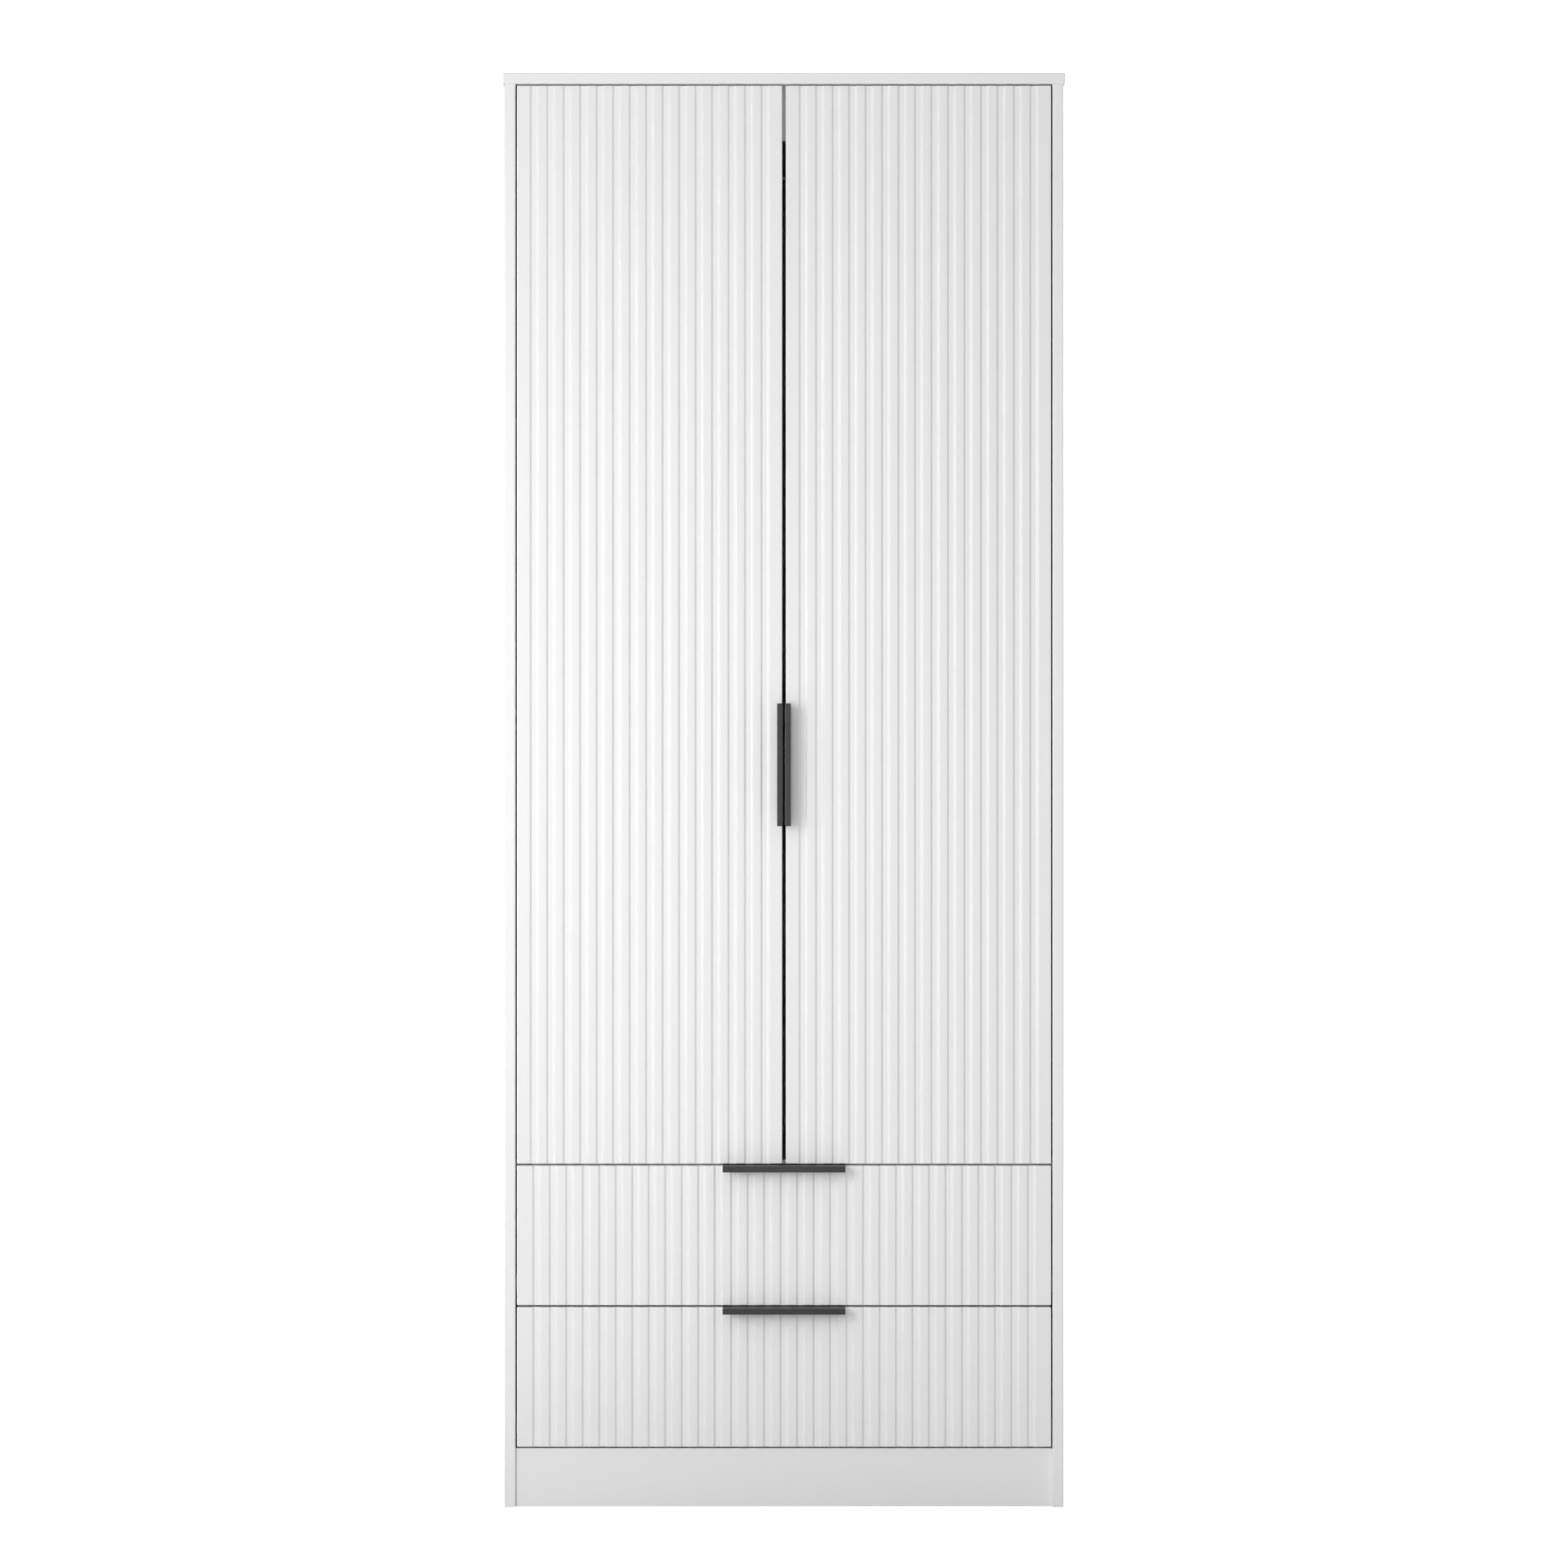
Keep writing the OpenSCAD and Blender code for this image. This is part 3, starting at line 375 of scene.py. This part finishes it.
def board_finish(m, colour, peel=1.0):
    """A white facing's colour and roughness; the orange-peel skin is set on the way.

    Below about 0.28 the roughness makes sharp-edged darker patches in the render.
    """
    clouds = m.noise(scale=3.0, detail=2.0)
    mottle = m.noise(scale=140.0, detail=2.0)
    base = m.blend(clouds, scaled(colour, 0.985), scaled(colour, 1.01))
    base = m.blend(m.spread(mottle, 0.35, 0.7, 0.0, 0.25), base, scaled(colour, 0.97))
    rubbed = m.maths("MULTIPLY", m.edges(1.2 * MM), m.spread(m.noise(scale=60.0), 0.3, 0.8))
    base = m.blend(m.maths("MULTIPLY", rubbed, 0.35), base, scaled(colour, 0.9))
    peel_height = m.noise(scale=900.0, detail=2.0, rough=0.5)
    grain_height = m.noise(scale=2600.0, detail=1.0, rough=0.5)
    skin = m.bump(peel_height, distance=0.022 * MM * peel, strength=0.5)
    skin = m.bump(grain_height, distance=0.008 * MM * peel, strength=0.35, under=skin)
    m.set("Normal", skin)
    rough = m.spread(m.noise(scale=9.0, detail=3.0), 0.3, 0.7, to_low=0.288, to_high=0.318)
    return base, rough


WHITE = (0.865, 0.865, 0.86)
FIBRE = (0.33, 0.215, 0.125)
CHIP = (0.52, 0.38, 0.24)
BLACK = (0.0215, 0.0215, 0.0225)
BEECH = (0.60, 0.40, 0.22)
REAR_Y = CAD_BOX[1].y
RAW_FULL = 0.3 * MM         # raw board shows fully this near the rear plane
RAW_END = 0.6 * MM          # and not at all beyond this


def white_board():
    """White-faced chipboard whose rear edges show the raw board."""
    m = Material("white_board", IOR=1.5)
    base, rough = board_finish(m, scaled(WHITE, 1.03))
    at_back = m.spread(m.part_of(m.place, "Y"), REAR_Y - RAW_END, REAR_Y - RAW_FULL)
    chips = m.cells(scale=420.0, where=m.stretch(1.0, 1.0, 0.55))
    specks = m.noise(scale=1100.0, detail=4.0, rough=0.7)
    raw = m.blend(chips, scaled(CHIP, 0.7), scaled(CHIP, 1.15))
    raw = m.blend(m.spread(specks, 0.35, 0.65), scaled(CHIP, 0.45), raw)
    m.set("Base Color", m.blend(at_back, base, raw))
    m.set("Roughness", m.maths("MAXIMUM", rough, m.maths("MULTIPLY", at_back, 0.85)))
    return m.made


def fluted_foil():
    """Smooth white foil over fibreboard."""
    m = Material("fluted_foil", IOR=1.5)
    base, rough = board_finish(m, scaled(WHITE, 1.01), peel=0.6)
    m.set("Base Color", base)
    m.set("Roughness", rough)
    return m.made


def hardboard(name, hidden_axis, hidden_sign):
    """Thin hardboard: white lacquer on the face that is seen, bare brown fibre on the other."""
    m = Material(name, IOR=1.45)
    white, rough = board_finish(m, scaled(WHITE, 0.97), peel=1.4)
    facing = m.maths("MULTIPLY", m.part_of(m.facing, hidden_axis), hidden_sign)
    bare = m.spread(facing, -0.5, 0.2)
    fibres = m.noise(scale=500.0, detail=5.0, rough=0.7, where=m.stretch(1.0, 1.0, 3.0), twist=0.6)
    flecks = m.noise(scale=1700.0, detail=3.0, rough=0.6)
    brown = m.blend(fibres, scaled(FIBRE, 0.75), scaled(FIBRE, 1.3))
    brown = m.blend(m.spread(flecks, 0.4, 0.75, 0.0, 0.5), brown, scaled(FIBRE, 1.7))
    m.set("Base Color", m.blend(bare, white, brown))
    m.set("Roughness", m.maths("MAXIMUM", rough, m.maths("MULTIPLY", bare, 0.8)))
    return m.made


def black_powder():
    """Matt black powder coat with a fine texture, a little paler along its edges: partly wear, partly a
    painted sheen.
    """
    m = Material("black_powder", IOR=1.5)
    cloud = m.noise(scale=45.0, detail=2.0)
    base = m.blend(cloud, scaled(BLACK, 0.85), scaled(BLACK, 1.2))
    # paler along the edges: partly wear of the coat, partly a painted sheen where the edges would catch the
    # light
    wear_and_sheen = m.maths("MULTIPLY", m.edges(0.5 * MM), m.spread(m.noise(scale=130.0), 0.35, 0.75))
    base = m.blend(m.maths("MULTIPLY", wear_and_sheen, 0.6), base, scaled(BLACK, 2.6))
    m.set("Base Color", base)
    m.set("Roughness", m.spread(m.noise(scale=30.0), 0.3, 0.7, to_low=0.46, to_high=0.56))
    grit = m.noise(scale=3200.0, detail=2.0, rough=0.6)
    m.set("Normal", m.bump(grit, distance=0.03 * MM, strength=0.6))
    return m.made


def metal(name, colour, rough, streak, tarnish, scoring=0.4):
    """Plated steel: grain drawn out along the least stretched axis, cloudy tarnish, a fine bump."""
    m = Material(name, Metallic=1.0)
    lines = m.noise(scale=1.0, detail=3.0, rough=0.6, where=m.stretch(*streak))
    haze = m.noise(scale=40.0, detail=4.0)
    base = m.blend(m.spread(haze, 0.35, 0.75), colour, scaled(colour, tarnish))
    rubbed = m.maths("MULTIPLY", m.edges(0.4 * MM), 0.5)
    base = m.blend(rubbed, base, scaled(colour, 1.12))
    m.set("Base Color", base)
    m.set("Roughness", m.spread(lines, 0.3, 0.7, to_low=rough * 0.75, to_high=rough * 1.25))
    m.set("Normal", m.bump(lines, distance=0.01 * MM, strength=scoring))
    return m.made


def painted(name, colour, rough, grain):
    """Paint or plastic with clouding, fine grain and edges that catch dirt."""
    m = Material(name, IOR=1.48)
    cloud = m.noise(scale=25.0, detail=3.0)
    base = m.blend(cloud, scaled(colour, 0.95), scaled(colour, 1.03))
    soiled = m.maths("MULTIPLY", m.edges(0.6 * MM), m.spread(m.noise(scale=90.0), 0.4, 0.7))
    base = m.blend(m.maths("MULTIPLY", soiled, 0.4), base, scaled(colour, 0.72))
    m.set("Base Color", base)
    m.set("Roughness", m.spread(m.noise(scale=60.0), 0.3, 0.7, to_low=rough * 0.85, to_high=rough * 1.15))
    m.set("Normal", m.bump(m.noise(scale=grain, detail=2.0), distance=0.03 * MM, strength=0.5))
    return m.made


def beech():
    """Plain beech with short flecks along the grain."""
    m = Material("beech", IOR=1.45)
    grain = m.noise(scale=1.0, detail=4.0, rough=0.6, where=m.stretch(60.0, 900.0, 900.0), twist=0.4)
    base = m.blend(grain, scaled(BEECH, 0.7), scaled(BEECH, 1.2))
    m.set("Base Color", base)
    m.set("Roughness", m.spread(grain, 0.2, 0.8, to_low=0.55, to_high=0.75))
    m.set("Normal", m.bump(grain, distance=0.05 * MM, strength=0.5))
    return m.made


FINISHES = {
    "white_board": white_board(),
    "fluted_front": fluted_foil(),
    "back_sheet": hardboard("back_sheet", "Y", 1.0),
    "drawer_sheet": hardboard("drawer_sheet", "Z", -1.0),
    "black_pull": black_powder(),
    "chrome_rail": metal("chrome_rail", (0.82, 0.83, 0.85), rough=0.3, streak=(20.0, 300.0, 300.0),
                         tarnish=0.93, scoring=0.02),
    "nickel_steel": metal("nickel_steel", (0.66, 0.64, 0.61), rough=0.26,
                          streak=(900.0, 900.0, 60.0), tarnish=0.85),
    "zinc_fixing": metal("zinc_fixing", (0.60, 0.61, 0.63), rough=0.34,
                         streak=(700.0, 700.0, 700.0), tarnish=0.8),
    "coated_runner": painted("coated_runner", (0.78, 0.78, 0.76), rough=0.38, grain=1400.0),
    "nylon_roller": painted("nylon_roller", (0.76, 0.74, 0.68), rough=0.42, grain=900.0),
    "beech_dowel": beech(),
}


def clad(piece, finish):
    """Gives a piece one finish in place of whatever it had."""
    piece.data.materials.clear()
    piece.data.materials.append(FINISHES[finish])


# ------------------------------------------------------------------ CAD pieces

SLOT_OF = {s["node"]: s["material_slot"] for s in frame["record"]["subparts"]}
BEVELS = {
    "white_board": 0.4 * MM,
    "hardboard": 0.2 * MM,
    "black_pull": 0.2 * MM,
    "nylon_roller": 0.2 * MM,
    "beech_dowel": 0.5 * MM,
}
THIN_BEVEL = 0.12 * MM      # for the pressed steel and the fixings
FACET_GAP = 0.005 * MM      # corners nearer than this are one
FLAT_ANGLE = math.radians(0.5)


def finish_of(name):
    """The finish of a CAD node, from its slot; hardboard differs by the side that is bare."""
    if SLOT_OF[name] == "hardboard":
        return "back_sheet" if "back" in name else "drawer_sheet"
    return SLOT_OF[name]


for name, piece in nodes.items():
    slot = SLOT_OF[name]
    clad(piece, finish_of(name))
    weld = piece.modifiers.new("join_facets", "WELD")
    weld.merge_threshold = FACET_GAP
    flat = piece.modifiers.new("merge_flat_faces", "DECIMATE")
    flat.decimate_type = "DISSOLVE"
    flat.angle_limit = FLAT_ANGLE
    soft = piece.modifiers.new("soften_edges", "BEVEL")
    soft.width = BEVELS.get(slot, THIN_BEVEL)
    soft.segments = 2
    soft.limit_method = "ANGLE"
    soft.angle_limit = CREASE_ANGLE
    soft.use_clamp_overlap = slot not in BEVELS
    weighted_normals(piece, keep_sharp=False)
    for polygon in piece.data.polygons:
        polygon.use_smooth = True

# ------------------------------------------------------------------ custom fronts

DOOR_FLUTES = 15
DRAWER_FLUTES = 31
CUP_BORE = 17.52 * MM       # radius of the bore for a hinge cup
CUP_DEPTH = 11.72 * MM
CUP_OUTWARD = 1.5 * MM      # the bore is this much nearer the hinge edge than the pin
PIN_HALF = 7.5 * MM         # half a hinge pin's length
PAST = 2 * MM               # how far the cutter goes past the door's back


def hang_front(front, node, body):
    """Finishes a fluted front and puts it on its body in the place of the CAD's plain one."""
    smooth_shading(front)
    weighted_normals(front)
    clad(front, "fluted_front")
    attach(front, body)
    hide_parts(node)


for side, outward in (("left", -1), ("right", 1)):
    door = fluted_front(f"{side}_fluted_door", f"{side}_door_panel", DOOR_FLUTES)
    door_low, door_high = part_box(f"{side}_door_panel")
    pin_low, pin_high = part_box(f"{side}_hinge_pins")
    cup_x = (pin_low.x + pin_high.x) / 2 + outward * CUP_OUTWARD
    for z in (pin_low.z + PIN_HALF, (pin_low.z + pin_high.z) / 2, pin_high.z - PIN_HALF):
        bore(door, (cup_x, z), CUP_BORE, door_high.y - CUP_DEPTH, door_high.y + PAST)
    hang_front(door, f"{side}_door_panel", f"{side}_door")

for level in ("upper", "lower"):
    front = fluted_front(f"{level}_fluted_front", f"{level}_drawer_front", DRAWER_FLUTES)
    hang_front(front, f"{level}_drawer_front", f"{level}_drawer")

# ------------------------------------------------------------------ stage

FRONT_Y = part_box("right_side_panel")[0].y
FLOOR_HALF = 9.0
FLOOR_GREY = (0.30, 0.30, 0.30, 1.0)
FLOOR_SEEN = 0.9            # glow of the floor as the camera sees it
FLOOR_NEAR = (0.35, 0.05)   # distance from the origin, and the glow given there
FLOOR_FAR = (0.9, 0.33)
SKY_SEEN = 1.05             # strength of the sky as the camera sees it
SKY_LOW = (-0.6, 0.04)      # upward part of a direction, and the strength given from there
SKY_HIGH = (0.8, 0.62)
PLAIN_WHITE = (1.0, 1.0, 1.0, 1.0)


def studio_floor():
    """A floor that the camera sees as plain white, but whose light is weak beside the wardrobe."""
    mesh = bpy.data.meshes.new("studio_floor")
    corners = [(-FLOOR_HALF, -FLOOR_HALF, 0), (FLOOR_HALF, -FLOOR_HALF, 0),
               (FLOOR_HALF, FLOOR_HALF, 0), (-FLOOR_HALF, FLOOR_HALF, 0)]
    mesh.from_pydata(corners, [], [(0, 1, 2, 3)])
    floor = bpy.data.objects.new("studio_floor", mesh)
    bpy.context.scene.collection.objects.link(floor)
    m = Material("studio_floor")
    m.set("Base Color", FLOOR_GREY)
    m.set("Roughness", 0.9)
    m.set("Specular IOR Level", 0.0)
    m.set("Emission Color", PLAIN_WHITE)
    ray = m.tree.nodes.new("ShaderNodeLightPath")
    reach = m.tree.nodes.new("ShaderNodeVectorMath")
    reach.operation = "LENGTH"
    m.put(m.place, reach.inputs[0])
    thrown = m.spread(reach.outputs["Value"], FLOOR_NEAR[0], FLOOR_FAR[0], FLOOR_NEAR[1], FLOOR_FAR[1])
    glow = m.tree.nodes.new("ShaderNodeMix")
    m.put(ray.outputs["Is Camera Ray"], glow.inputs["Factor"])
    m.put(thrown, glow.inputs["A"])
    m.put(FLOOR_SEEN, glow.inputs["B"])
    m.set("Emission Strength", glow.outputs["Result"])
    mesh.materials.append(m.made)


def studio_sky():
    """A sky that the camera sees as plain white; the light it gives is softer, and weak from below."""
    world = bpy.data.worlds.new("studio")
    bpy.context.scene.world = world
    world.use_nodes = True
    tree = world.node_tree
    seen = tree.nodes.new("ShaderNodeBackground")
    seen.inputs["Color"].default_value = PLAIN_WHITE
    seen.inputs["Strength"].default_value = SKY_SEEN
    given = tree.nodes["Background"]
    given.inputs["Color"].default_value = PLAIN_WHITE
    direction = tree.nodes.new("ShaderNodeTexCoord")
    upward = tree.nodes.new("ShaderNodeSeparateXYZ")
    tree.links.new(direction.outputs["Generated"], upward.inputs[0])
    strength = tree.nodes.new("ShaderNodeMapRange")
    strength.inputs["From Min"].default_value, strength.inputs["To Min"].default_value = SKY_LOW
    strength.inputs["From Max"].default_value, strength.inputs["To Max"].default_value = SKY_HIGH
    tree.links.new(upward.outputs["Z"], strength.inputs["Value"])
    tree.links.new(strength.outputs["Result"], given.inputs["Strength"])
    ray = tree.nodes.new("ShaderNodeLightPath")
    choose = tree.nodes.new("ShaderNodeMixShader")
    tree.links.new(ray.outputs["Is Camera Ray"], choose.inputs["Fac"])
    tree.links.new(given.outputs["Background"], choose.inputs[1])
    tree.links.new(seen.outputs["Background"], choose.inputs[2])
    tree.links.new(choose.outputs["Shader"], tree.nodes["World Output"].inputs["Surface"])


studio_floor()
studio_sky()

# ------------------------------------------------------------------ lights


def softbox(name, place, target, size, watts):
    """A rectangular area light at a place, turned to a target; the camera doesn't see its surface."""
    data = bpy.data.lights.new(name, "AREA")
    data.shape = "RECTANGLE"
    data.size, data.size_y = size
    data.energy = watts
    lamp = bpy.data.objects.new(name, data)
    lamp.location = place
    aim = Vector(target) - Vector(place)
    lamp.rotation_mode = "QUATERNION"
    lamp.rotation_quaternion = aim.to_track_quat("-Z", "Y")
    lamp.visible_camera = False
    bpy.context.scene.collection.objects.link(lamp)
    return lamp


KEY_DISTANCE = 2.45
KEY_TURN = math.radians(31)         # to the left of the camera's line of sight
KEY_HEIGHT = 1.22
FRONT_MIDDLE = (0.0, FRONT_Y, 1.0)

softbox("key_light",
        place=(-KEY_DISTANCE * math.sin(KEY_TURN), FRONT_Y - KEY_DISTANCE * math.cos(KEY_TURN), KEY_HEIGHT),
        target=(0.0, FRONT_Y, 1.1), size=(0.75, 1.35), watts=24.9)
fill = softbox("fill_light", place=(-0.3, FRONT_Y - 4.5, 1.0), target=FRONT_MIDDLE,
               size=(1.6, 1.6), watts=29.0)
fill.visible_glossy = False         # it lifts the shadows without a sheen of its own
# to the left, seen only in reflections: the bright lines on the flutes' right-hand walls
sheen = softbox("sheen_light", place=(-2.36, FRONT_Y - 1.85, 1.1), target=FRONT_MIDDLE,
                size=(1.5, 2.4), watts=130.0)
sheen.visible_diffuse = False
softbox("back_light", place=(2.4, 3.6, 2.3), target=(0.0, 0.0, 1.0), size=(1.6, 1.6), watts=90.0)

# ------------------------------------------------------------------ camera

CAMERA_DISTANCE = 5.84              # from the side panels' front edges
CAMERA_HEIGHT = 0.9933
SENSOR_MM = 36.0
LENS_MM = 97.6

camera_data = bpy.data.cameras.new("camera")
camera_data.sensor_width = SENSOR_MM
camera_data.lens = LENS_MM
camera = bpy.data.objects.new("camera", camera_data)
camera.location = (0.0, FRONT_Y - CAMERA_DISTANCE, CAMERA_HEIGHT)
camera.rotation_euler = (math.pi / 2, 0.0, 0.0)
bpy.context.scene.collection.objects.link(camera)
bpy.context.scene.camera = camera

bpy.context.scene.view_settings.view_transform = "Standard"
